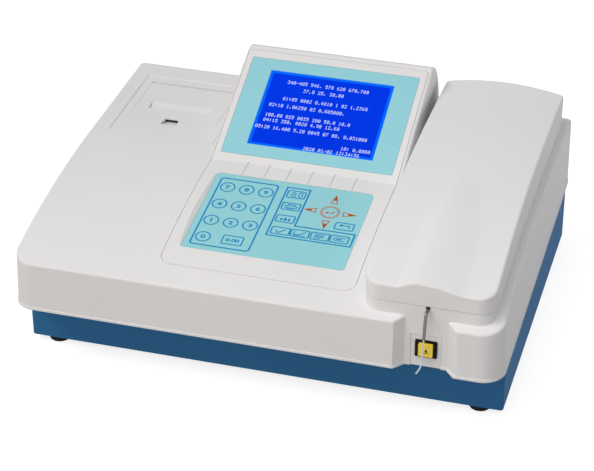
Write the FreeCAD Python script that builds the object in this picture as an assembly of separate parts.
"""Semi-automatic chemistry analyser: a bench instrument with a display, a keypad, a printer
and a long lid over its optics.

All sizes are in millimetres.  X runs to the right, Y to the back and Z up.  The origin is on the
table, under the middle of the instrument.
"""
import math
import os

import FreeCAD
import Part

V = FreeCAD.Vector

# The whole instrument
FOOT_H = 7.0
CASE_D = 351.0
FRONT = -CASE_D / 2
BACK = CASE_D / 2
HALF_TOP = 221.0
HALF_SKIRT_FRONT = HALF_TOP + 2.8
HALF_SKIRT_BACK = HALF_TOP + 0.6
SKIRT_Z_FRONT = 59.0
SKIRT_Z_BACK = 64.0
CORNER_R_FRONT = 20.0
CORNER_R_BACK = 5.0
WALL = 2.2
GAP = 0.3
EDGE_R = 2.5
LIP = 0.7
LIP_H = 2.2

# Reach of the blocks that trim other shapes: past every side and past the top
FAR = 300.0
HIGH = 260.0

# The curve of the deck, from the front edge to where it runs level
DECK_FRONT_Z = 107.0
DECK_RISE = 25.7
DECK_RUN = 0.598 * CASE_D
DECK_POWER = 2.3
DECK_Z = DECK_FRONT_Z + DECK_RISE
KNEE = FRONT + DECK_RUN

# The blue sheet-metal base, with a rim set in to slip up inside the case
BASE_HALF = HALF_TOP
BASE_FRONT = FRONT + 34.2
BASE_BACK = BACK - 8.0
BASE_TOP = 72.0
BASE_R = 3.0
RIM_IN = 2.5
SHEET = 1.5
FLOOR_Z = FOOT_H + SHEET
FOOT_R = 10.0
FOOT_X = BASE_HALF - 22.5
FOOT_Y0 = BASE_FRONT + 12.3
FOOT_Y1 = BASE_BACK - 17.5

# Optics compartment and its lid
LID_W = 0.518 * HALF_TOP
LID_X1 = HALF_TOP - 8.0
LID_X0 = LID_X1 - LID_W
LID_Y0 = FRONT + 8.9
LID_Y1 = BACK - 13.5
LID_D = LID_Y1 - LID_Y0
LID_R_FRONT = 15.0
LID_R_BACK = 3.5
LID_WALL = 2.2
SEAM_Z = 121.0
LID_FRONT_Z = 136.8
LID_RISE = 29.5
LID_RUN = 0.67 * LID_D
LID_POWER = 2.4
LID_DROP = 2.5
CROWN = 6.5
EAR_X = (LID_X0 + 19.5, LID_X1 - 19.5)
EAR_R = 3.5
EAR_W = 5.0
ARM_R = 3.3
ARM_W = 6.0
PIN_R = 1.5
PIN_FIT = 0.05
HINGE_Y = BACK - 6.9
HINGE_Z = 138.0

# The raised tongue on the lid, widest at the front and run out in the middle of the top
TONGUE = 6.3
TONGUE_X0 = LID_X0 + 0.42 * LID_W
TONGUE_X1 = LID_X0 + 0.47 * LID_W
TONGUE_LEFT = 0.17 * LID_W
TONGUE_RIGHT = 0.36 * LID_W
TONGUE_RUN = 0.455
TONGUE_EDGE = 1.5

# Printer: a frame let into the deck, with a bucket under it and a door over the paper
PR_W = 0.47 * HALF_TOP
PR_X0 = 17.4 - HALF_TOP
PR_X1 = PR_X0 + PR_W
PR_Y0 = BACK - 140.9
PR_Y1 = BACK - 26.9
PR_Z = DECK_Z - 0.8
PR_T = 2.2
PR_GAP = 0.15
PR_BEVEL = 0.8
DOOR_X0 = PR_X0 + 8.1
DOOR_X1 = PR_X1 - 7.3
DOOR_Y0 = PR_Y0 + 30.3
DOOR_T = 2.5
DOOR_OPEN = math.radians(100)
BARREL_R = 3.3
BARREL_Y = PR_Y1 - 13.7
BARREL_Z = PR_Z - BARREL_R
SLOT_X0 = DOOR_X0 + 13.5
SLOT_X1 = DOOR_X1 - 13.7
SLOT_Y0 = DOOR_Y0 + 21.4
SLOT_Y1 = SLOT_Y0 + 12.5
SLOT_DEEP = 4.0
BUCKET_X0 = DOOR_X0 - 2.3
BUCKET_X1 = DOOR_X1 + 2.3
BUCKET_Y0 = PR_Y0 + 17.4
BUCKET_Y1 = PR_Y1 - 2.0
BUCKET_Z = 84.0
BUCKET_T = 2.0
GRIP_X = (DOOR_X0 + DOOR_X1) / 2 - 0.7
GRIP_HALF = 8.0
GRIP_Y0 = BUCKET_Y0 + 5.2
GRIP_MID_Z = PR_Z - DOOR_T - 0.8
GRIP_Z = PR_Z - DOOR_T - 3.0
GRIP_LIP = 1.0
NOTCH = 4.5
ROLLER_R = 5.0
ROLLER_Y = SLOT_Y0 - 4.2
ROLLER_Z = PR_Z - 15.4

# Display head
TILT = math.radians(22.9)
HEAD_X0 = PR_X1 + 6.2
HEAD_X1 = LID_X0 - 8.5
HEAD_TOP_Y = BACK - 38.8
HEAD_TOP_Z = 187.8
HEAD_BACK_Y = BACK - 4.5
HEAD_BACK = (
    (BACK - 26.0, HEAD_TOP_Z - 5.8), (BACK - 14.5, HEAD_TOP_Z - 20.3),
    (BACK - 7.5, HEAD_TOP_Z - 37.8),
)

# Console panel: one bent panel under the keypad and round the screen
CON_X0 = HEAD_X0 + 2.2
CON_X1 = HEAD_X1 - 3.7
CON_Y0 = FRONT + 25.1
CON_Y1 = HEAD_TOP_Y - 4.6
CON_T = 2.5
CON_R = 11.0
GROOVE = 0.35
LEDGE = 5.0
RIB_N = 6
RIB_PITCH = 21.0
RIB_X = -3.0
RIB_W = 1.2
RIB_L = 21.0
RIB_DEEP = 0.5

# Screen and the film round it
SCREEN_X = (CON_X0 + CON_X1) / 2 - 0.15
SCREEN_W = 122.0
SCREEN_H = 91.4
SCREEN_Y = HEAD_TOP_Y - 67.3
MARGIN_SIDE = (CON_X1 - CON_X0 - SCREEN_W) / 2 - 6.2
MARGIN_END = 13.4
FILM_T = 0.6
MODULE_W = SCREEN_W + 2 * MARGIN_SIDE - 17.2
MODULE_H = SCREEN_H + 10.6

# Optics on a plate: beam, cell, lamp, lens and filter wheel, all in line under the lid
TUBE_X = (LID_X0 + LID_X1) / 2 + 0.25
BEAM_Z = 93.0
PLATE_Z = BASE_TOP
PLATE_T = 4.0
OPTICS_X0 = LID_X0 + 7.5
OPTICS_X1 = LID_X1 - 7.0
OPTICS_Y0 = LID_Y0 + 29.6
OPTICS_Y1 = LID_Y1 - 12.0
CELL_Y = LID_Y0 + 56.6
CELL_TOP = 106.0
LAMP_Y1 = OPTICS_Y1 - 14.0
LAMP_Y0 = LAMP_Y1 - 40.0
LENS_Y0 = LAMP_Y0 - 56.0
LENS_R = 7.5
WHEEL_Y = LENS_Y0 - 12.0
WHEEL_R = 16.5
WHEEL_PCR = 11.0
WHEEL_X = TUBE_X + WHEEL_PCR
FILTERS = 6
FILTER_R = 4.5
MOTOR_Y = LENS_Y0 - 46.0

# Sample bay in the front, with its button
BAY_X0 = TUBE_X - 19.6
BAY_X1 = TUBE_X + 18.2
BAY_FLANK = 7.8
BAY_ROUND = 5.5
SWITCH_X = TUBE_X - 0.4
SWITCH_Z = 78.4
BUTTON_W = 12.6
BUTTON_H = 12.4
PLATE_X0 = TUBE_X - 14.0
PLATE_X1 = TUBE_X + 12.6
PLATE_Z1 = 91.0
PLATE_GAP = 0.1

# Steel sampling tube and the capillary at its end
TUBE_R = 1.4
TUBE_Z = 119.0
TUBE_END = V(TUBE_X, FRONT - 4.9, 96.7)
CAP_R = 0.7
CAPILLARY = [
    TUBE_END,
    V(TUBE_X - 0.1, FRONT - 6.9, 84.0),
    V(TUBE_X - 0.3, FRONT - 8.1, 70.0),
    V(TUBE_X - 4.8, FRONT - 9.2, 63.6),
]
CAP_BENDS = [14.0, 6.0]

# Screws that hold the case on the base: one post in each corner
BOSSES = (
    (14.0 - BASE_HALF, BASE_FRONT + 29.3), (LID_X0 - 4.5, BASE_FRONT + 13.3),
    (11.0 - BASE_HALF, BASE_BACK - 8.5), (LID_X0 - 4.3, BASE_BACK - 9.5),
)
BOSS_R = 4.0

# Rear: mains inlet, rocker switch, serial port, fan and waste outlet
INLET_X = 71.0 - BASE_HALF
INLET_Z = 38.0
ROCKER_X = INLET_X + 38.0
ROCKER_R = 9.2
ROCKER_TILT = 8.0
SERIAL_X = INLET_X + 90.0
FAN_X = 40.0
FAN_Z = 36.5
FAN_HALF = 25.0
FAN_BORE = 23.5
BLADES = 7
WASTE_X = BASE_HALF - 36.0
WASTE_Z = 30.0
WASTE_BORE = 1.6
WASTE_REACH = TUBE_R - TUBE_END.y

# Inside the base: power supply, main board and pump
SUPPLY_X0 = 21.0 - BASE_HALF
SUPPLY_X1 = SUPPLY_X0 + 90.0
SUPPLY_Y1 = BASE_BACK - 37.5
SUPPLY_Y0 = SUPPLY_Y1 - 110.0
SUPPLY_Z = 52.0
BOARD_X0 = SUPPLY_X1 + 10.0
BOARD_X1 = LID_X0 - 20.5
BOARD_Y0 = BASE_FRONT + 41.3
BOARD_Y1 = BOARD_Y0 + 160.0
BOARD_Z = FLOOR_Z + 20.0
BOARD_T = 1.6
PUMP_X = 61.0 - BASE_HALF
PUMP_Y = BASE_FRONT + 56.3
PUMP_HALF = 26.0
PUMP_BORE = 22.0
PUMP_PCR = 13.2
PUMP_ROLLER_R = 5.0
PUMP_SHUT = 18.6

parts = {}


def box(x0, x1, y0, y1, z0, z1):
    return Part.makeBox(x1 - x0, y1 - y0, z1 - z0, V(x0, y0, z0))


def cyl(r, h, base, axis):
    return Part.makeCylinder(r, h, V(*base), V(*axis))


def middle_box(x, half_x, y0, y1, z, half_z):
    """Block along Y about a centre line at (x, z)."""
    return box(x - half_x, x + half_x, y0, y1, z - half_z, z + half_z)


def linspace(a, b, n):
    return [a + (b - a) * i / (n - 1) for i in range(n)]


def rounded_wire(points, radii, z):
    """Closed outline in plan with an arc at each corner."""
    n = len(points)
    ends = []
    for i in range(n):
        p = V(points[i][0], points[i][1], z)
        a = (V(points[i - 1][0], points[i - 1][1], z) - p).normalize()
        b = (V(points[(i + 1) % n][0], points[(i + 1) % n][1], z) - p).normalize()
        half = math.acos(max(-1.0, min(1.0, a.dot(b)))) / 2
        reach = radii[i] / math.tan(half)
        middle = p + (a + b).normalize() * (radii[i] / math.sin(half) - radii[i])
        ends.append((p + a * reach, middle, p + b * reach))
    edges = []
    for i in range(n):
        first, middle, last = ends[i]
        if radii[i] > 0:
            edges.append(Part.Arc(first, middle, last).toShape())
        edges.append(Part.makeLine(last, ends[(i + 1) % n][0]))
    return Part.Wire(edges)


def rectangle(x0, x1, y0, y1):
    return [(x0, y0), (x1, y0), (x1, y1), (x0, y1)]


def rounded_prism(x0, x1, y0, y1, r, z0, z1):
    """Upright block with rounded corners: one radius, or one for each corner."""
    radii = r if isinstance(r, (list, tuple)) else [r] * 4
    face = Part.Face(rounded_wire(rectangle(x0, x1, y0, y1), radii, z0))
    return face.extrude(V(0, 0, z1 - z0))


def centred_prism(half_x, half_y, r, z0, z1):
    return rounded_prism(-half_x, half_x, -half_y, half_y, r, z0, z1)


def plan_prism(points, z0, z1):
    wire = Part.makePolygon([V(x, y, z0) for x, y in points + points[:1]])
    return Part.Face(wire).extrude(V(0, 0, z1 - z0))


def side_prism(points, x0, x1):
    """Prism along X over a side-view outline of (y, z) points."""
    wire = Part.makePolygon([V(x0, y, z) for y, z in points + points[:1]])
    return Part.Face(wire).extrude(V(x1 - x0, 0, 0))


def rounded_box_y(x, z, w, h, r, y0, y1):
    """Block along Y with rounded long edges."""
    prism = centred_prism(w / 2, h / 2, r, 0, y1 - y0)
    prism.Placement = FreeCAD.Placement(V(x, y1, z), FreeCAD.Rotation(V(1, 0, 0), 90))
    return prism


def pipe(points, bends, radius):
    """Round bar along straight runs joined by tangent arcs."""
    edges = []
    start = points[0]
    for i in range(1, len(points) - 1):
        p = points[i]
        a = (points[i - 1] - p).normalize()
        b = (points[i + 1] - p).normalize()
        half = math.acos(a.dot(b)) / 2
        reach = bends[i - 1] / math.tan(half)
        middle = p + (a + b).normalize() * (bends[i - 1] / math.sin(half) - bends[i - 1])
        edges.append(Part.makeLine(start, p + a * reach))
        edges.append(Part.Arc(p + a * reach, middle, p + b * reach).toShape())
        start = p + b * reach
    edges.append(Part.makeLine(start, points[-1]))
    path = Part.Wire(edges)
    ring = Part.Wire(Part.makeCircle(radius, points[0], points[1] - points[0]))
    return path.makePipeShell([ring], True, False)


def smooth(t):
    t = max(0.0, min(1.0, t))
    return t * t * (3 - 2 * t)


# The deck and the sloping screen face
def deck_z(y):
    t = min(1.0, (y - FRONT) / DECK_RUN)
    return DECK_FRONT_Z + DECK_RISE * (1 - (1 - t) ** DECK_POWER)


def deck_edges(dz, y0, y1):
    """The deck's side-view curve, raised by dz, as edges in the plane X = 0."""
    last = min(KNEE, y1)
    pts = [V(0, y, deck_z(y) + dz) for y in linspace(y0, last, 9)]
    slope0 = deck_z(y0 + 0.5) - deck_z(y0 - 0.5)
    slope1 = deck_z(last + 0.5) - deck_z(last - 0.5)
    curve = Part.BSplineCurve()
    curve.interpolate(Points=pts, InitialTangent=V(0, 1, slope0), FinalTangent=V(0, 1, slope1))
    edges = [curve.toShape()]
    if y1 > KNEE:
        edges.append(Part.makeLine(pts[-1], V(0, y1, DECK_Z + dz)))
    return edges


def below_deck(dz, y0, y1, z0_front, z0_back, x0, x1):
    """Solid between the deck's curve and a straight lower edge."""
    top = deck_edges(dz, y0, y1)
    a = V(0, y0, deck_z(y0) + dz)
    b = V(0, y1, deck_z(y1) + dz)
    c = V(0, y1, z0_back)
    d = V(0, y0, z0_front)
    edges = top + [Part.makeLine(b, c), Part.makeLine(c, d), Part.makeLine(d, a)]
    face = Part.Face(Part.Wire(Part.__sortEdges__(edges)))
    face.translate(V(x0, 0, 0))
    return face.extrude(V(x1 - x0, 0, 0))


def screen_z(y):
    return HEAD_TOP_Z + (y - HEAD_TOP_Y) * math.tan(TILT)


def find_fold():
    """Where the sloping screen face meets the deck's curve."""
    y = HEAD_TOP_Y
    for _ in range(20):
        y = HEAD_TOP_Y - (HEAD_TOP_Z - deck_z(y)) / math.tan(TILT)
    return y


FOLD_Y = find_fold()


def to_screen(shape):
    """Move a shape drawn about the screen's centre onto the tilted face."""
    shape.Placement = FreeCAD.Placement(
        V(SCREEN_X, SCREEN_Y, screen_z(SCREEN_Y)),
        FreeCAD.Rotation(V(1, 0, 0), math.degrees(TILT)),
    )
    return shape


# Keypad film: flat, along the chord of the deck under it and a little sunk
KEY_SIDE = 14.1
KEY_Y0 = CON_Y0 + 23.0
KEY_Y1 = FOLD_Y - 20.9
KEY_SINK = 0.67
KEY_R = 4.0
KEY_FLARE = 1.3
KEY_PAD = 7.0
KEY_UNDER = 3.0
KEY_X = SCREEN_X - 1.0
KEY_Y = (KEY_Y0 + KEY_Y1) / 2
KEY_Z = (deck_z(KEY_Y0) + deck_z(KEY_Y1)) / 2 - KEY_SINK
KEY_TILT = math.atan2(deck_z(KEY_Y1) - deck_z(KEY_Y0), KEY_Y1 - KEY_Y0)
KEY_W = CON_X1 - CON_X0 - 2 * KEY_SIDE
KEY_H = (KEY_Y1 - KEY_Y0) / math.cos(KEY_TILT)
KEY_FILM_T = 0.5


def to_keypad(shape):
    shape.Placement = FreeCAD.Placement(
        V(KEY_X, KEY_Y, KEY_Z),
        FreeCAD.Rotation(V(1, 0, 0), math.degrees(KEY_TILT)),
    )
    return shape


def keypad_recess():
    """Pocket for the film: upright to the film's top, then flaring out to both sides."""
    half_x = KEY_W / 2 + GAP
    half_y = KEY_H / 2 + GAP
    deep = KEY_UNDER + DECK_RISE / 10
    wires = []
    for z, grow in ((0.0, 0.0), (deep, KEY_FLARE * deep)):
        corners = rectangle(-half_x - grow, half_x + grow, -half_y, half_y)
        wires.append(rounded_wire(corners, [KEY_R] * 4, z))
    pocket = centred_prism(half_x, half_y, KEY_R, -KEY_FILM_T, 0)
    return to_keypad(pocket.fuse(Part.makeLoft(wires, True, True)))


def console_band(dz_top, dz_low, grow):
    """The bent strip that the console panel occupies, between two heights."""
    y0 = CON_Y0 - grow
    y1 = CON_Y1 + grow
    spare = 2.0
    edges = []
    for dz in (dz_top, dz_low):
        edges += deck_edges(dz, y0 - spare, FOLD_Y)
        start = V(0, FOLD_Y, deck_z(FOLD_Y) + dz)
        edges.append(Part.makeLine(start, V(0, y1 + spare, screen_z(y1 + spare) + dz)))
    for y, z in ((y0 - spare, deck_z(y0 - spare)), (y1 + spare, screen_z(y1 + spare))):
        edges.append(Part.makeLine(V(0, y, z + dz_top), V(0, y, z + dz_low)))
    face = Part.Face(Part.Wire(Part.__sortEdges__(edges)))
    face.translate(V(-FAR, 0, 0))
    outline = rounded_prism(
        CON_X0 - grow, CON_X1 + grow, y0, y1,
        [CON_R + grow, CON_R + grow, 3.0, 3.0], SKIRT_Z_FRONT, HIGH,
    )
    return face.extrude(V(2 * FAR, 0, 0)).common(outline)


def head_solid(inset):
    """The wedge behind the screen, with a rounded back."""
    x0 = HEAD_X0 + inset
    x1 = HEAD_X1 - inset
    drop = inset / math.cos(TILT)
    y_low = FOLD_Y - 6.0
    top = V(x0, HEAD_TOP_Y - inset, screen_z(HEAD_TOP_Y - inset) - drop)
    low = V(x0, y_low, screen_z(y_low) - drop)
    foot = V(x0, HEAD_BACK_Y - inset, DECK_Z - 1.0)
    back = Part.BSplineCurve()
    back.interpolate([top] + [V(x0, y - inset, z - inset * 0.7) for y, z in HEAD_BACK] + [foot])
    back = back.toShape()
    under_a = V(x0, HEAD_BACK_Y - inset, DECK_Z - WALL - 0.6)
    under_b = V(x0, y_low, DECK_Z - WALL - 8.0)
    edges = [
        Part.makeLine(low, top), back, Part.makeLine(foot, under_a),
        Part.makeLine(under_a, under_b), Part.makeLine(under_b, low),
    ]
    return Part.Face(Part.Wire(edges)).extrude(V(x1 - x0, 0, 0))


def case_outline(inset):
    """Draughted block with the case's rounded plan, wider at the skirt."""
    z_low = SKIRT_Z_FRONT - 4
    z_high = DECK_Z + 8
    front_low = FRONT - 0.7 + inset
    front_high = FRONT + inset
    wires = []
    for z, half_f, half_b, y_front in (
        (z_low, HALF_SKIRT_FRONT - inset, HALF_SKIRT_BACK - inset, front_low),
        (z_high, HALF_TOP - inset, HALF_TOP - 0.4 - inset, front_high),
    ):
        y_back = BACK - inset
        corners = [(-half_f, y_front), (half_f, y_front), (half_b, y_back), (-half_b, y_back)]
        rf = CORNER_R_FRONT - inset
        rb = CORNER_R_BACK - inset
        wires.append(rounded_wire(corners, [rf, rf, rb, rb], z))
    return Part.makeLoft(wires, True, True)


def skirt_z(y):
    return SKIRT_Z_FRONT + (SKIRT_Z_BACK - SKIRT_Z_FRONT) * (y - FRONT) / CASE_D


def above_skirt(low, high):
    """Slanted slab between two heights over the skirt's lower edge."""
    return side_prism([
        (-FAR, skirt_z(-FAR) + low), (FAR, skirt_z(FAR) + low),
        (FAR, skirt_z(FAR) + high), (-FAR, skirt_z(-FAR) + high),
    ], -FAR, FAR)


def bay_cutter(grow):
    """Plan of the sample bay: a flat back between two splayed flanks."""
    y_back = LID_Y0 + grow
    y_mouth = FRONT - 3
    run = BAY_FLANK * (y_back - y_mouth) / (LID_Y0 - FRONT)
    return plan_prism([
        (BAY_X0 - grow - run, y_mouth), (BAY_X1 + grow + run, y_mouth),
        (BAY_X1 + grow, y_back), (BAY_X0 - grow, y_back),
    ], SKIRT_Z_FRONT - 20, HIGH)


def lid_plan(inset, z0, z1):
    """Upright block over the lid's plan, its corners wide in front and tight behind."""
    front = LID_R_FRONT - inset
    back = max(LID_R_BACK - inset, 0.3)
    return rounded_prism(LID_X0 + inset, LID_X1 - inset, LID_Y0 + inset, LID_Y1 - inset,
                         [front, front, back, back], z0, z1)


def upright(edge):
    bb = edge.BoundBox
    return bb.ZLength > 3 * max(bb.XLength, bb.YLength)


def on_flank(edge):
    """The corner where the bay's right flank meets the front."""
    bb = edge.BoundBox
    return BAY_X1 + 1 < bb.XMin < LID_X1 - CORNER_R_FRONT and bb.YMax < FRONT + 1


def top_case_shell():
    """The outer shape: deck and skirt with the sample bay cut in, head and lid's seat on top."""
    block = case_outline(0).common(
        below_deck(0, FRONT - 2, BACK + 2, SKIRT_Z_FRONT, SKIRT_Z_BACK, -FAR, FAR))
    block = block.cut(bay_cutter(0))
    block = block.makeFillet(BAY_ROUND, [e for e in block.Edges if upright(e) and on_flank(e)])
    block = block.makeFillet(EDGE_R, [
        e for e in block.Edges if e.BoundBox.ZMin > DECK_FRONT_Z - 6 and not upright(e)
        and not (e.BoundBox.XMin > BAY_X0 - BAY_FLANK and e.BoundBox.XMax < BAY_X1 + 1)])
    head = head_solid(0)
    head = head.makeFillet(2.5, [e for e in head.Edges if e.BoundBox.ZMax > DECK_Z + 12])
    lip = case_outline(-LIP).common(above_skirt(0, LIP_H)).cut(bay_cutter(-LIP))
    seat = lid_plan(0, DECK_FRONT_Z - 8, SEAM_Z)
    return block.fuse(lip).fuse(seat).fuse(head)


def make_top_case():
    case = top_case_shell()
    void = case_outline(WALL).common(below_deck(
        -WALL, FRONT - 2, BACK + 2, SKIRT_Z_FRONT + WALL, SKIRT_Z_BACK + WALL, -FAR, FAR))
    void = void.cut(bay_cutter(WALL))
    case = case.cut(void).cut(head_solid(WALL))

    # The base's rim comes up through the underside
    rim_gap = GAP - RIM_IN
    case = case.cut(box(
        -BASE_HALF - rim_gap, BASE_HALF + rim_gap, BASE_FRONT - rim_gap, BASE_BACK + rim_gap,
        SKIRT_Z_FRONT - 10, SKIRT_Z_BACK + WALL + 0.4))

    # Ledges that the console panel and the printer frame rest on
    case = case.fuse(console_band(-1.2, -CON_T - 2.0, 2.0))
    case = case.fuse(box(PR_X0 - 2, PR_X1 + 2, PR_Y0 - 2, PR_Y1 + 2, PR_Z - 4.4, DECK_Z - 1))
    case = case.cut(console_band(30, -CON_T, GROOVE))
    case = case.cut(console_band(30, -40, -LEDGE))
    case = case.cut(box(PR_X0 - PR_GAP, PR_X1 + PR_GAP, PR_Y0 - PR_GAP, PR_Y1 + PR_GAP,
                        PR_Z - PR_T, HIGH))
    case = case.cut(box(PR_X0 + 3, PR_X1 - 3, PR_Y0 + 3, PR_Y1 - 0.6, BUCKET_Z, HIGH))
    bevel = []
    for z, grow in ((PR_Z, PR_GAP), (PR_Z + 2 * PR_BEVEL, PR_GAP + 2 * PR_BEVEL)):
        corners = rectangle(PR_X0 - grow, PR_X1 + grow, PR_Y0 - grow, PR_Y1 + grow)
        bevel.append(rounded_wire(corners, [0] * 4, z))
    case = case.cut(Part.makeLoft(bevel, True, True))

    # Optics compartment: an open well with a short wall down from the deck
    well_z = DECK_FRONT_Z - 11
    well = lid_plan(0.2, well_z, DECK_FRONT_Z).common(case_outline(0.5))
    case = case.fuse(well)
    case = case.cut(lid_plan(WALL + 1, well_z - 6, HIGH))
    slot = TUBE_R + 0.5
    notch = cyl(slot, 12, (TUBE_X, LID_Y0 - 4, TUBE_Z), (0, 1, 0))
    case = case.cut(notch.fuse(box(TUBE_X - slot, TUBE_X + slot, LID_Y0 - 4, LID_Y0 + 8,
                                   TUBE_Z, SEAM_Z + 1)))

    # Opening for the button plate
    case = case.cut(box(PLATE_X0 - GAP, PLATE_X1 + PLATE_GAP, LID_Y0 - 1, LID_Y0 + WALL + 1,
                        SKIRT_Z_FRONT - 9, PLATE_Z1 + GAP))

    # Two ears behind the lid for its hinge pins
    for x in EAR_X:
        x0 = x - EAR_W / 2
        ear = box(x0, x0 + EAR_W, HINGE_Y - EAR_R, HINGE_Y + EAR_R, DECK_Z - 2, HINGE_Z)
        ear = ear.fuse(cyl(EAR_R, EAR_W, (x0, HINGE_Y, HINGE_Z), (1, 0, 0)))
        ear = ear.cut(cyl(PIN_R, EAR_W + 4, (x0 - 2, HINGE_Y, HINGE_Z), (1, 0, 0)))
        case = case.fuse(ear)

    # Screw posts from the deck down to the base's floor
    for x, y in BOSSES:
        post = cyl(BOSS_R, deck_z(y) - 1 - FLOOR_Z, (x, y, FLOOR_Z), (0, 0, 1))
        case = case.fuse(post.cut(cyl(1.3, 10, (x, y, FLOOR_Z), (0, 0, 1))))
    return case


def make_console():
    """One panel bent at the fold, thickened under the keypad, with ribs pressed beside it."""
    panel = console_band(0, -CON_T, 0)
    pad = to_keypad(centred_prism(
        KEY_W / 2 + KEY_PAD, KEY_H / 2 + 3, KEY_R + 3, -KEY_UNDER, KEY_UNDER + 2))
    panel = panel.fuse(pad.common(below_deck(
        -0.2, CON_Y0, KNEE - 1, SKIRT_Z_BACK, SKIRT_Z_BACK, CON_X0, CON_X1)))
    panel = panel.cut(keypad_recess())
    w = SCREEN_W / 2 + MARGIN_SIDE
    h = SCREEN_H / 2 + MARGIN_END
    panel = panel.cut(to_screen(centred_prism(w + GAP, h + GAP, 2.0, -FILM_T, 5)))
    panel = panel.cut(to_screen(centred_prism(SCREEN_W / 2, SCREEN_H / 2, 1.0, -8, 5)))
    y0 = FOLD_Y + 1.8 - RIB_L
    y1 = FOLD_Y + 1.8
    for i in range(RIB_N):
        x = RIB_X + (i - (RIB_N - 1) / 2) * RIB_PITCH
        panel = panel.cut(side_prism([
            (y0, deck_z(y0) - RIB_DEEP), (y1, deck_z(y1) - RIB_DEEP),
            (y1, deck_z(y1) + 4), (y0, deck_z(y0) + 4),
        ], x - RIB_W / 2, x + RIB_W / 2))
    return panel


def make_display():
    """Film round the screen, glass in its window, and the module with its board behind."""
    w = SCREEN_W / 2 + MARGIN_SIDE
    h = SCREEN_H / 2 + MARGIN_END
    film = centred_prism(w, h, 2.0, -FILM_T, 0)
    film = film.cut(centred_prism(SCREEN_W / 2, SCREEN_H / 2, 1.0, -2, 2))
    parts["display_overlay"] = to_screen(film)
    parts["lcd_glass"] = to_screen(centred_prism(
        SCREEN_W / 2 - 0.2, SCREEN_H / 2 - 0.2, 0.9, -2.5, -0.5))
    half_x = MODULE_W / 2
    half_y = MODULE_H / 2
    module = box(-half_x, half_x, -half_y, half_y, -9.5, -2.5)
    module = module.cut(box(10 - half_x, 16 - half_x, -half_y - 1, 4 - half_y, -12, -6))
    parts["lcd_module"] = to_screen(module)
    parts["lcd_board"] = to_screen(box(
        -half_x - 2, half_x + 2, -half_y - 2, half_y + 2, -11.1, -9.5))
    parts["keypad_overlay"] = to_keypad(centred_prism(
        KEY_W / 2, KEY_H / 2, KEY_R, -KEY_FILM_T, 0))


def lid_z(x, y):
    """Height of the lid's top: an arch along Y, a crown across X and a raised tongue."""
    t = (y - LID_Y0) / LID_RUN
    rise = LID_RISE * (1 - abs(1 - min(t, 1.0)) ** LID_POWER)
    fall = LID_DROP * smooth((t - 1.0) / 0.5)
    along = (y - LID_Y0) / LID_D
    across = (x - (LID_X0 + LID_X1) / 2) / (LID_W / 2)
    crown = CROWN * smooth(along) * (1 - across * across)
    return LID_FRONT_Z + rise - fall + crown + tongue_z(x, along)


def tongue_z(x, along):
    """The tongue: a wave with a crease at each side that narrows and sinks to a rounded end."""
    s = max(0.0, along) / TONGUE_RUN
    if s >= 1:
        return 0.0
    middle = TONGUE_X0 + (TONGUE_X1 - TONGUE_X0) * s
    half = TONGUE_LEFT if x < middle else TONGUE_RIGHT
    across = (x - middle) / (half * math.sqrt(1 - s * s))
    if abs(across) >= 1:
        return 0.0
    return TONGUE * (1 - s * s) * (1 - across * across) ** TONGUE_EDGE


def lid_block(inset, drop):
    """Rounded upright prism cut off by the lid's curved top."""
    xs = linspace(LID_X0 - 4, LID_X1 + 4, 49)
    ys = linspace(LID_Y0 - 4, LID_Y1 + 4, 41)
    surface = Part.BSplineSurface()
    surface.interpolate([[V(x, y, lid_z(x, y) - drop) for y in ys] for x in xs])
    under = surface.toShape().extrude(V(0, 0, SKIRT_Z_FRONT - LID_FRONT_Z))
    return under.common(lid_plan(inset, DECK_FRONT_Z - 12, HIGH)).Solids[0]


def below_lid():
    """Everything below the lid's lower edge: level at the front, along the deck behind."""
    level = box(LID_X0 - 5, LID_X1 + 5, LID_Y0 - 5, LID_Y1 + 5, SKIRT_Z_FRONT, SEAM_Z + GAP)
    return level.fuse(below_deck(
        GAP, FRONT + 2, BACK - 1, SKIRT_Z_FRONT, SKIRT_Z_FRONT, LID_X0 - 5, LID_X1 + 5))


def make_lid():
    outer = lid_block(0, 0)
    outer = outer.makeFillet(2.2, [
        e for e in outer.Edges if e.BoundBox.ZMin > SEAM_Z + 8 and e.BoundBox.ZLength < 40])
    lid = outer.cut(lid_block(LID_WALL, LID_WALL)).cut(below_lid())
    # Hinge arms reach back from the rear wall to the pins, inside the two ears
    middle = (LID_X0 + LID_X1) / 2
    pins = []
    for x in EAR_X:
        side = -1 if x > middle else 1
        near = x + side * (EAR_W / 2 + GAP)
        x0 = min(near, near + side * ARM_W)
        arm = box(x0, x0 + ARM_W, LID_Y1 - 1.5, HINGE_Y, HINGE_Z - 2.5, HINGE_Z + ARM_R)
        arm = arm.fuse(cyl(ARM_R, ARM_W, (x0, HINGE_Y, HINGE_Z), (1, 0, 0)))
        arm = arm.cut(cyl(PIN_R + PIN_FIT, 2 * ARM_W, (x0 - 3, HINGE_Y, HINGE_Z), (1, 0, 0)))
        lid = lid.fuse(arm)
        long = EAR_W + GAP + ARM_W
        start = x - EAR_W / 2 if side > 0 else x + EAR_W / 2 - long
        pins.append(cyl(PIN_R, long, (start, HINGE_Y, HINGE_Z), (1, 0, 0)))
    parts["optics_lid"] = lid
    parts["lid_hinge_pins"] = Part.makeCompound(pins)


def door_sweep():
    """Room that the open door's face needs behind its barrel, beyond upright."""
    def back(z):
        reach = BARREL_R + GAP - (z - BARREL_Z) * math.cos(DOOR_OPEN)
        return BARREL_Y + reach / math.sin(DOOR_OPEN)
    high = PR_Z + 2
    return side_prism([
        (BARREL_Y, BARREL_Z), (back(BARREL_Z), BARREL_Z), (back(high), high), (BARREL_Y, high),
    ], DOOR_X0 - GAP, DOOR_X1 + GAP)


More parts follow.
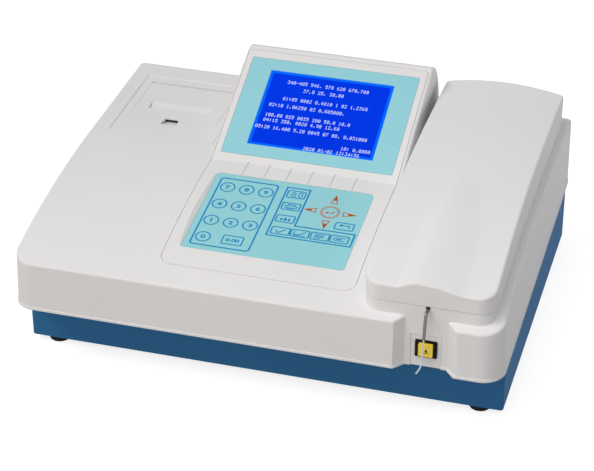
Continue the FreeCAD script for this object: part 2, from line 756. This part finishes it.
def make_printer_frame():
    plate_z = PR_Z - PR_T
    frame = rounded_prism(PR_X0, PR_X1, PR_Y0, PR_Y1, 2.0, plate_z, PR_Z)
    bucket = box(BUCKET_X0, BUCKET_X1, BUCKET_Y0, BUCKET_Y1, BUCKET_Z, plate_z)
    t = BUCKET_T
    frame = frame.fuse(bucket.cut(box(
        BUCKET_X0 + t, BUCKET_X1 - t, BUCKET_Y0 + t, BUCKET_Y1 - t, BUCKET_Z + t, HIGH)))
    frame = frame.cut(box(DOOR_X0 - PR_GAP, DOOR_X1 + PR_GAP, DOOR_Y0 - PR_GAP,
                          BARREL_Y + BARREL_R + GAP, PR_Z - 8, HIGH))
    frame = frame.cut(door_sweep())
    # Finger grip: a shallow pocket that slopes down under the door's notch
    grip_y1 = DOOR_Y0 + NOTCH + 4
    under = PR_Z - DOOR_T - GAP
    frame = frame.fuse(side_prism([
        (BUCKET_Y0 + 1, GRIP_Z - 2), (BUCKET_Y0 + 1, PR_Z - 1), (DOOR_Y0 - PR_GAP, PR_Z - 1),
        (DOOR_Y0 - PR_GAP, under), (grip_y1, under), (grip_y1, GRIP_Z - 2),
    ], GRIP_X - GRIP_HALF - 3, GRIP_X + GRIP_HALF + 3))
    frame = frame.cut(side_prism([
        (GRIP_Y0, PR_Z + 1), (GRIP_Y0, PR_Z - 0.5), (DOOR_Y0, GRIP_MID_Z), (grip_y1 + 1, GRIP_Z),
        (grip_y1 + 1, PR_Z + 1),
    ], GRIP_X - GRIP_HALF, GRIP_X + GRIP_HALF))
    # Ledge that the door's front edge shuts on
    low = PR_Z - DOOR_T - 2
    for x0, x1 in ((DOOR_X0 + 2, GRIP_X - GRIP_HALF - 5), (GRIP_X + GRIP_HALF + 5, DOOR_X1 - 2)):
        frame = frame.fuse(box(x0, x1, DOOR_Y0 - 4, DOOR_Y0 - PR_GAP, low, plate_z))
        frame = frame.fuse(box(x0, x1, DOOR_Y0 - PR_GAP, DOOR_Y0 + 2.5, low,
                               PR_Z - DOOR_T - 0.1))
    parts["printer_frame"] = frame.cut(cyl(
        PIN_R, PR_W, (PR_X0, BARREL_Y, BARREL_Z), (1, 0, 0)))


def make_printer_door():
    """Flap on a barrel hinge, with a sloping paper slot and a notch for a finger."""
    width = DOOR_X1 - DOOR_X0
    door = box(DOOR_X0, DOOR_X1, DOOR_Y0, BARREL_Y, PR_Z - DOOR_T, PR_Z)
    door = door.fuse(cyl(BARREL_R, width, (DOOR_X0, BARREL_Y, BARREL_Z), (1, 0, 0)))
    door = door.fuse(box(SLOT_X0 - 2, SLOT_X1 + 2, SLOT_Y0 - 2, SLOT_Y1 + 2,
                         PR_Z - SLOT_DEEP - 2.5, PR_Z))
    door = door.cut(side_prism([
        (SLOT_Y1, PR_Z + 0.1), (SLOT_Y0, PR_Z + 0.1), (SLOT_Y0, PR_Z - SLOT_DEEP),
    ], SLOT_X0, SLOT_X1))
    door = door.cut(box(SLOT_X0 + 1.5, SLOT_X1 - 1.5, SLOT_Y0 + 0.2, SLOT_Y0 + 1.6,
                        PR_Z - SLOT_DEEP - 10, PR_Z + 1))
    door = door.cut(rounded_prism(
        GRIP_X - GRIP_HALF + 1, GRIP_X + GRIP_HALF - 1, DOOR_Y0 - 6, DOOR_Y0 + NOTCH, 2.0,
        PR_Z - DOOR_T - 1, PR_Z + 1))
    door = door.cut(box(GRIP_X - GRIP_HALF + 1, GRIP_X + GRIP_HALF - 1, DOOR_Y0 - 1,
                        DOOR_Y0 + NOTCH + 2, PR_Z - DOOR_T - 1, PR_Z - GRIP_LIP))
    door = door.cut(cyl(PIN_R + PIN_FIT, width + 4, (DOOR_X0 - 2, BARREL_Y, BARREL_Z), (1, 0, 0)))
    parts["printer_door"] = door.removeSplitter()
    parts["printer_door_pin"] = cyl(
        PIN_R, BUCKET_X1 - BUCKET_X0, (BUCKET_X0, BARREL_Y, BARREL_Z), (1, 0, 0))


def make_print_mechanism():
    """Two cheeks on a base, with a head bar and a rubber roller between them."""
    y0 = ROLLER_Y - 6
    y1 = SLOT_Y1 + 2.3
    floor = BUCKET_Z + BUCKET_T
    cheek = 4.0
    width = SLOT_X1 - SLOT_X0
    base = box(SLOT_X0 - 6, SLOT_X1 + 6, y0, y1, floor, floor + 3)
    for x0 in (SLOT_X0 - 6, SLOT_X1 + 6 - cheek):
        base = base.fuse(box(x0, x0 + cheek, y0, y1, floor, ROLLER_Z + 6))
    base = base.cut(cyl(PIN_R + PIN_FIT, width + 24, (SLOT_X0 - 12, ROLLER_Y, ROLLER_Z),
                        (1, 0, 0)))
    parts["print_bracket"] = base
    head = box(SLOT_X0 - 2, SLOT_X1 + 2, ROLLER_Y + ROLLER_R + 0.6, y1 - 2, floor + 3,
               ROLLER_Z + 3.5)
    head = head.cut(box(SLOT_X0 + 3, SLOT_X1 - 3, y1 - 7, y1, floor + 8, ROLLER_Z - 0.5))
    parts["print_head"] = head
    roller = cyl(ROLLER_R, width, (SLOT_X0, ROLLER_Y, ROLLER_Z), (1, 0, 0))
    parts["platen_roller"] = roller.fuse(
        cyl(PIN_R, width + 12, (SLOT_X0 - 6, ROLLER_Y, ROLLER_Z), (1, 0, 0)))


def make_bay():
    """Button plate, switch and button at the back of the bay, and the tube over them."""
    y = LID_Y0
    x, z = SWITCH_X, SWITCH_Z
    plate = box(PLATE_X0, PLATE_X1, y, y + WALL, SKIRT_Z_FRONT + 0.6, PLATE_Z1)
    plate = plate.fuse(box(PLATE_X0 - 2.5, PLATE_X1 + 2.5, y + WALL, y + WALL + 1.4,
                           SKIRT_Z_FRONT + 3.4, PLATE_Z1 + 2.5))
    parts["switch_plate"] = plate.cut(middle_box(x, 8.4, y - 1, y + 5, z, 7.2))
    body = rounded_box_y(x, z, 19.6, 17.0, 1.2, y - 1.3, y)
    body = body.fuse(middle_box(x, 8.2, y - 0.2, y + 16, z, 7.0))
    body = body.cut(middle_box(x, 6.6, y - 2, y + 9, z, 6.5))
    for dx in (-4, 4):
        body = body.fuse(middle_box(x + dx, 0.4, y + 16, y + 22, z, 1.5))
    parts["switch_body"] = body
    parts["aspirate_button"] = rounded_box_y(x, z, BUTTON_W, BUTTON_H, 0.8, y - 3.8, y + 5)

    # Steel tube: out of the cell block, over the wall and down in front of the bay
    route = [
        V(TUBE_X, CELL_Y, CELL_TOP), V(TUBE_X, CELL_Y, TUBE_Z), V(TUBE_X, FRONT + 0.6, TUBE_Z),
        TUBE_END,
    ]
    parts["aspiration_tube"] = pipe(route, [5.0, 4.5], TUBE_R)
    parts["capillary"] = pipe(CAPILLARY, CAP_BENDS, CAP_R)


def base_block(inset, dz):
    """The base's outline up to the skirt, set in and lowered."""
    block = rounded_prism(inset - BASE_HALF, BASE_HALF - inset, BASE_FRONT + inset,
                          BASE_BACK - inset, BASE_R - inset, FOOT_H, BASE_TOP)
    return block.common(above_skirt(-FAR, -GAP - dz))


def make_base():
    tray = base_block(0, 0)
    rim = RIM_IN + SHEET
    for inset, corner, z0, add in ((RIM_IN, 1.0, FOOT_H, True), (rim, 0.5, FLOOR_Z, False)):
        block = rounded_prism(inset - BASE_HALF, BASE_HALF - inset, BASE_FRONT + inset,
                              BASE_BACK - inset, corner, z0, BASE_TOP + (0 if add else 1))
        tray = tray.fuse(block) if add else tray.cut(block)
    hollow = base_block(SHEET, SHEET)
    tray = tray.cut(hollow.cut(box(-FAR, FAR, -FAR, FAR, 0, FLOOR_Z)))
    y0, y1 = BASE_BACK - 3, BASE_BACK + 3
    tray = tray.cut(middle_box(INLET_X, 14.2, y0, y1, INLET_Z, 15.2))
    tray = tray.cut(middle_box(ROCKER_X, 6.8, y0, y1, INLET_Z, 11.3))
    tray = tray.cut(middle_box(SERIAL_X, 9.6, y0, y1, INLET_Z, 5.2))
    tray = tray.cut(cyl(3.6, 8, (WASTE_X, BASE_BACK - 4, WASTE_Z), (0, 1, 0)))
    # Fan grille: upright slots inside a circle
    for i in range(-4, 5):
        x = FAN_X + i * 5.0
        reach = math.sqrt((FAN_BORE - 0.5) ** 2 - (abs(i) * 5.0 + 1.6) ** 2)
        tray = tray.cut(middle_box(x, 1.6, y0, y1, FAN_Z, reach))
    # Air slots in the floor
    for i in range(7):
        x = 31 - BASE_HALF + i * 9.0
        tray = tray.cut(box(x, x + 3.5, BASE_BACK - 72.5, BASE_BACK - 32.5,
                            FOOT_H - 1, FLOOR_Z + 1))
    for x, y in BOSSES:
        tray = tray.cut(cyl(1.7, 6, (x, y, FOOT_H - 2), (0, 0, 1)))
    parts["base_tray"] = tray

    feet = []
    for x in (-FOOT_X, FOOT_X):
        for y in (FOOT_Y0, FOOT_Y1):
            foot = cyl(FOOT_R, FOOT_H, (x, y, 0), (0, 0, 1))
            feet.append(foot.makeFillet(1.6, [e for e in foot.Edges if e.BoundBox.ZMax < 0.1]))
    parts["feet"] = Part.makeCompound(feet)

    screws = []
    for x, y in BOSSES:
        screw = cyl(2.9, 2.0, (x, y, FOOT_H - 2), (0, 0, 1))
        screw = screw.fuse(cyl(1.3, 8.0, (x, y, FOOT_H), (0, 0, 1)))
        screws.append(screw.cut(box(x - 1.8, x + 1.8, y - 0.4, y + 0.4, FOOT_H - 3, FOOT_H - 1)))
    parts["case_screws"] = Part.makeCompound(screws)


def make_inlet():
    """Mains inlet with its pins and a fuse drawer above the socket."""
    y = BASE_BACK
    x = INLET_X
    inlet = middle_box(x, 17, y, y + 2, INLET_Z, 18)
    inlet = inlet.fuse(middle_box(x, 14, y - 22, y, INLET_Z, 15))
    cz = INLET_Z - 4.5
    socket = [(-12, -8), (12, -8), (12, 4), (8, 8), (-8, 8), (-12, 4)]
    wire = Part.makePolygon([V(x + a, y - 15, cz + b) for a, b in socket + socket[:1]])
    inlet = inlet.cut(Part.Face(wire).extrude(V(0, 30, 0)))
    fuse_z = INLET_Z + 10
    parts["mains_inlet"] = inlet.cut(middle_box(x, 11, y - 18, y + 4, fuse_z, 4))
    parts["inlet_pins"] = Part.makeCompound([
        middle_box(x + dx, 1, y - 15, y - 3, cz + dz, 2)
        for dx, dz in ((-7, -1.5), (7, -1.5), (0, 2.5))])
    drawer = middle_box(x, 10.7, y - 17, y + 3, fuse_z, 3.7)
    drawer = drawer.fuse(middle_box(x, 12.2, y + 2.3, y + 3.8, fuse_z + 0.3, 4.5))
    parts["fuse_drawer"] = drawer.cut(box(
        x - 9, x + 9, y - 15.5, y - 1, fuse_z - 2, fuse_z + 5))


def make_rocker():
    """Rocker switch: frame with a cross pin, and a rocker that tips on it."""
    y = BASE_BACK
    x = ROCKER_X
    frame = middle_box(x, 7.8, y, y + 2, INLET_Z, 13)
    frame = frame.fuse(middle_box(x, 6.6, y - 18, y, INLET_Z, 11.1))
    frame = frame.cut(middle_box(x, 5.6, y - 12, y + 4, INLET_Z, 9.6))
    pin_y = y - 3.0
    parts["rocker_frame"] = frame.fuse(cyl(1.0, 14, (x - 7, pin_y, INLET_Z), (1, 0, 0)))
    rocker = cyl(ROCKER_R, 10.6, (x - 5.3, pin_y, INLET_Z), (1, 0, 0))
    rocker = rocker.common(side_prism([
        (y - 6.0, INLET_Z - 12), (y + 3.4, INLET_Z - 12), (y + 1.6, INLET_Z),
        (y + 3.4, INLET_Z + 12), (y - 6.0, INLET_Z + 12),
    ], x - 8, x + 8))
    rocker = rocker.cut(cyl(1.0 + PIN_FIT, 14, (x - 7, pin_y, INLET_Z), (1, 0, 0)))
    rocker.rotate(V(0, pin_y, INLET_Z), V(1, 0, 0), -ROCKER_TILT)
    parts["power_rocker"] = rocker


def make_serial_port():
    """Nine-way socket: flange, D-shaped shell, two jack posts and the contact holes."""
    y = BASE_BACK
    x = SERIAL_X
    port = middle_box(x, 15.4, y, y + 0.9, INLET_Z, 6.2)
    shell = [(-8.6, 4.1), (8.6, 4.1), (7.6, -4.1), (-7.6, -4.1)]
    wire = Part.makePolygon([V(x + a, y, INLET_Z + b) for a, b in shell + shell[:1]])
    port = port.fuse(Part.Face(wire).extrude(V(0, 6, 0)))
    for dx in (-12.5, 12.5):
        port = port.fuse(cyl(2.6, 5.0, (x + dx, y, INLET_Z), (0, 1, 0)))
        port = port.cut(cyl(1.3, 6.0, (x + dx, y + 1.5, INLET_Z), (0, 1, 0)))
    port = port.fuse(middle_box(x, 9.2, y - 10, y, INLET_Z, 4.8))
    pitch = 2.75
    for count, dz in ((5, 1.4), (4, -1.4)):
        for i in range(count):
            hole_x = x + (i - (count - 1) / 2) * pitch
            port = port.cut(cyl(0.55, 4, (hole_x, y + 3, INLET_Z + dz), (0, 1, 0)))
    parts["serial_port"] = port


def make_fan():
    """Square frame behind the grille, with a hub on three arms and a bladed rotor on its pin."""
    y1 = BASE_BACK - SHEET
    y0 = y1 - 12
    frame = middle_box(FAN_X, FAN_HALF, y0, y1, FAN_Z, FAN_HALF)
    frame = frame.cut(cyl(FAN_BORE, 14, (FAN_X, y0 - 1, FAN_Z), (0, 1, 0)))
    hub = cyl(10, 1.5, (FAN_X, y0, FAN_Z), (0, 1, 0))
    for k in range(3):
        arm = box(-1.2, 1.2, 0, 1.5, 8, FAN_BORE + 1)
        arm.rotate(V(0, 0, 0), V(0, 1, 0), 120 * k + 45)
        arm.translate(V(FAN_X, y0, FAN_Z))
        hub = hub.fuse(arm)
    hub = hub.fuse(cyl(PIN_R, 9, (FAN_X, y0, FAN_Z), (0, 1, 0)))
    parts["fan_frame"] = frame.fuse(hub)
    rotor = cyl(9.5, 8.6, (FAN_X, y0 + 1.9, FAN_Z), (0, 1, 0))
    for k in range(BLADES):
        blade = box(-0.6, 0.6, -4.2, 4.2, 8.5, FAN_BORE - 0.9)
        blade.rotate(V(0, 0, 0), V(0, 0, 1), 42)
        blade.rotate(V(0, 0, 0), V(0, 1, 0), 360 * k / BLADES)
        blade.translate(V(FAN_X, y0 + 6.2, FAN_Z))
        rotor = rotor.fuse(blade)
    parts["fan_rotor"] = rotor.cut(cyl(
        PIN_R + PIN_FIT, 12, (FAN_X, y0, FAN_Z), (0, 1, 0)))


def make_waste_outlet():
    """Hose barb with a flange outside, a nut inside and one bore right through."""
    y = BASE_BACK
    barb = cyl(6.5, 3, (WASTE_X, y, WASTE_Z), (0, 1, 0))
    barb = barb.fuse(cyl(3.4, 14, (WASTE_X, y - 8, WASTE_Z), (0, 1, 0)))
    barb = barb.fuse(cyl(2.8, WASTE_REACH - y, (WASTE_X, y, WASTE_Z), (0, 1, 0)))
    for k in range(2):
        barb = barb.fuse(Part.makeCone(
            3.6, 2.8, 3.2, V(WASTE_X, y + 6.4 + 3.6 * k, WASTE_Z), V(0, 1, 0)))
    barb = barb.fuse(cyl(5.5, 3, (WASTE_X, y - SHEET - 3, WASTE_Z), (0, 1, 0)))
    parts["waste_outlet"] = barb.cut(cyl(
        WASTE_BORE, 60, (WASTE_X, y - 30, WASTE_Z), (0, 1, 0)))


def make_electronics():
    """Main board on its posts and an open power supply, both on the base's floor."""
    board = box(BOARD_X0, BOARD_X1, BOARD_Y0, BOARD_Y1, BOARD_Z, BOARD_Z + BOARD_T)
    top = BOARD_Z + BOARD_T
    width = BOARD_X1 - BOARD_X0
    depth = BOARD_Y1 - BOARD_Y0
    # Components: place as a share of the board, then width, depth and height
    for u, v, dx, dy, h in (
        (0.22, 0.38, 28, 28, 3), (0.51, 0.31, 28, 28, 3), (0.73, 0.13, 14, 40, 8),
        (0.06, 0.19, 14, 60, 9), (0.79, 0.69, 30, 30, 4), (0.28, 0.75, 60, 10, 12),
    ):
        x = BOARD_X0 + u * width
        y = BOARD_Y0 + v * depth
        board = board.fuse(box(x, x + dx, y, y + dy, top, top + h))
    for u in (0.45, 0.56, 0.67):
        board = board.fuse(cyl(4, 12, (BOARD_X0 + u * width, BOARD_Y1 - 15, top), (0, 0, 1)))
    parts["main_board"] = board
    parts["board_posts"] = Part.makeCompound([
        cyl(3, BOARD_Z - FLOOR_Z, (x, y, FLOOR_Z), (0, 0, 1))
        for x in (BOARD_X0 + 6, BOARD_X1 - 6) for y in (BOARD_Y0 + 6, BOARD_Y1 - 6)])

    x0, y0 = SUPPLY_X0, SUPPLY_Y0
    skin = 1.2
    floor = FLOOR_Z + skin
    supply = box(x0, SUPPLY_X1, y0, SUPPLY_Y1, FLOOR_Z, SUPPLY_Z)
    supply = supply.cut(box(x0 + skin, SUPPLY_X1 - skin, y0 + skin, SUPPLY_Y1 - skin,
                            floor, HIGH))
    supply = supply.fuse(box(x0 + 5, x0 + 35, y0 + 10, y0 + 40, floor, SUPPLY_Z - 8))
    supply = supply.fuse(box(x0 + 50, x0 + 70, y0 + 50, y0 + 90, floor, SUPPLY_Z - 12))
    for dy in (16, 32):
        supply = supply.fuse(cyl(7, 30, (x0 + 65, y0 + dy, floor), (0, 0, 1)))
    parts["power_supply"] = supply


def make_optics():
    """Plate on six posts, with lamp, lens, filter wheel, flow cell and detector in line."""
    parts["optics_plate"] = box(OPTICS_X0, OPTICS_X1, OPTICS_Y0, OPTICS_Y1,
                                PLATE_Z, PLATE_Z + PLATE_T)
    middle_y = (OPTICS_Y0 + OPTICS_Y1) / 2 - 6.5
    parts["optics_posts"] = Part.makeCompound([
        cyl(4, PLATE_Z - FLOOR_Z, (x, y, FLOOR_Z), (0, 0, 1))
        for x in (OPTICS_X0 + 8, OPTICS_X1 - 8)
        for y in (OPTICS_Y0 + 9, middle_y, OPTICS_Y1 - 10)])
    x = TUBE_X
    z0 = PLATE_Z + PLATE_T
    cell = box(x - 15, x + 15, CELL_Y - 12, CELL_Y + 12, z0, CELL_TOP)
    cell = cell.cut(cyl(3.0, 40, (x, CELL_Y - 20, BEAM_Z), (0, 1, 0)))
    for side in (-9, 9):
        cell = cell.cut(box(x + side - 1.5, x + side + 1.5, CELL_Y - 14, CELL_Y + 14,
                            CELL_TOP - 8, CELL_TOP + 4))
    parts["cell_block"] = cell
    detector = box(x - 20, x + 20, CELL_Y - 21.6, CELL_Y - 20, z0, CELL_TOP + 2)
    parts["detector_board"] = detector.fuse(cyl(5, 8, (x, CELL_Y - 20, BEAM_Z), (0, 1, 0)))

    lamp = box(x - 18, x + 18, LAMP_Y0, LAMP_Y1, z0, BEAM_Z + 19)
    for k in range(5):
        y = LAMP_Y0 + 7 + 7 * k
        lamp = lamp.cut(box(x - 20, x + 20, y, y + 3, BEAM_Z + 7, HIGH))
    parts["lamp_house"] = lamp.cut(cyl(6.2, 60, (x, LAMP_Y0 - 16, BEAM_Z), (0, 1, 0)))
    bulb = cyl(4.0, 22, (x, LAMP_Y0 + 12, BEAM_Z), (0, 1, 0))
    parts["lamp"] = bulb.fuse(cyl(6.0, 10, (x, LAMP_Y1 - 10, BEAM_Z), (0, 1, 0)))
    tube = cyl(LENS_R + 2.5, 56, (x, LENS_Y0, BEAM_Z), (0, 1, 0))
    tube = tube.cut(cyl(LENS_R, 60, (x, LENS_Y0 - 2, BEAM_Z), (0, 1, 0)))
    parts["lens_tube"] = tube.fuse(box(x - 10, x + 10, LENS_Y0 + 20, LENS_Y0 + 32, z0,
                                       BEAM_Z - 8))
    parts["lens"] = cyl(LENS_R - PIN_FIT, 4, (x, LENS_Y0 + 6, BEAM_Z), (0, 1, 0))

    # Filter wheel: its centre stands to the side, so that one filter at a time is in the beam
    wheel = cyl(WHEEL_R, 4, (WHEEL_X, WHEEL_Y, BEAM_Z), (0, 1, 0))
    filters = []
    for k in range(FILTERS):
        a = 2 * math.pi * k / FILTERS
        fx = WHEEL_X - WHEEL_PCR * math.cos(a)
        fz = BEAM_Z + WHEEL_PCR * math.sin(a)
        wheel = wheel.cut(cyl(FILTER_R, 10, (fx, WHEEL_Y - 2, fz), (0, 1, 0)))
        filters.append(cyl(FILTER_R - PIN_FIT, 2.5, (fx, WHEEL_Y + 0.8, fz), (0, 1, 0)))
    wheel = wheel.fuse(cyl(4, 8, (WHEEL_X, WHEEL_Y - 8, BEAM_Z), (0, 1, 0)))
    parts["filter_wheel"] = wheel.fuse(
        cyl(PIN_R, 20, (WHEEL_X, WHEEL_Y - 20, BEAM_Z), (0, 1, 0)))
    parts["filters"] = Part.makeCompound(filters)
    motor = cyl(12, 24, (WHEEL_X, MOTOR_Y, BEAM_Z), (0, 1, 0))
    motor = motor.fuse(box(WHEEL_X - 12, WHEEL_X + 12, MOTOR_Y, MOTOR_Y + 24, z0, BEAM_Z))
    parts["filter_motor"] = motor.cut(cyl(
        PIN_R + PIN_FIT, 14, (WHEEL_X, MOTOR_Y + 13, BEAM_Z), (0, 1, 0)))


def make_pump():
    """Peristaltic pump: a motor, and a rotor with three rollers that press on a loop of tube."""
    x, y = PUMP_X, PUMP_Y
    motor_h = 40.0
    motor = cyl(16, motor_h, (x, y, FLOOR_Z), (0, 0, 1))
    parts["pump_motor"] = motor.cut(cyl(
        PIN_R + PIN_FIT, 10, (x, y, FLOOR_Z + motor_h - 9), (0, 0, 1)))
    z0 = FLOOR_Z + motor_h
    open_x = x + 8
    head = rounded_prism(x - PUMP_HALF, x + PUMP_HALF, y - PUMP_HALF, y + PUMP_HALF, 4,
                         z0, z0 + 16)
    head = head.cut(cyl(PUMP_BORE, 20, (x, y, z0 + 1.5), (0, 0, 1)))
    head = head.cut(cyl(4, 20, (x, y, z0 - 5), (0, 0, 1)))
    parts["pump_head"] = head.cut(box(open_x, x + PUMP_HALF + 4, y - PUMP_BORE, y + PUMP_BORE,
                                      z0 + 1.5, z0 + 20))
    rotor = cyl(9, 11, (x, y, z0 + 2.2), (0, 0, 1))
    rotor = rotor.fuse(cyl(PIN_R, 12, (x, y, z0 - 8), (0, 0, 1)))
    for k in range(3):
        a = math.radians(120 * k + 60)
        rotor = rotor.fuse(cyl(
            PUMP_ROLLER_R, 11, (x + PUMP_PCR * math.cos(a), y + PUMP_PCR * math.sin(a), z0 + 2.2),
            (0, 0, 1)))
    parts["pump_rotor"] = rotor
    loop = cyl(PUMP_BORE - 0.1, 5, (x, y, z0 + 5), (0, 0, 1))
    loop = loop.cut(cyl(PUMP_SHUT, 8, (x, y, z0 + 4), (0, 0, 1)))
    loop = loop.cut(box(open_x, x + 40, y - 40, y + 40, z0, z0 + 20))
    for side in (-1, 1):
        leg_y = y + side * PUMP_SHUT - 1.7
        loop = loop.fuse(box(open_x, x + 34, leg_y, leg_y + 3.4, z0 + 5, z0 + 10))
    parts["pump_tube"] = loop


parts["top_case"] = make_top_case()
parts["console_panel"] = make_console()
make_display()
make_lid()
make_printer_frame()
make_printer_door()
make_print_mechanism()
make_bay()
make_base()
make_inlet()
make_rocker()
make_serial_port()
make_fan()
make_waste_outlet()
make_electronics()
make_optics()
make_pump()

os.makedirs("parts", exist_ok=True)
for name, shape in sorted(parts.items()):
    shape = shape.copy()
    shape.exportStep("parts/" + name + ".step")
    print(name, len(shape.Solids), round(shape.Volume), shape.isValid())
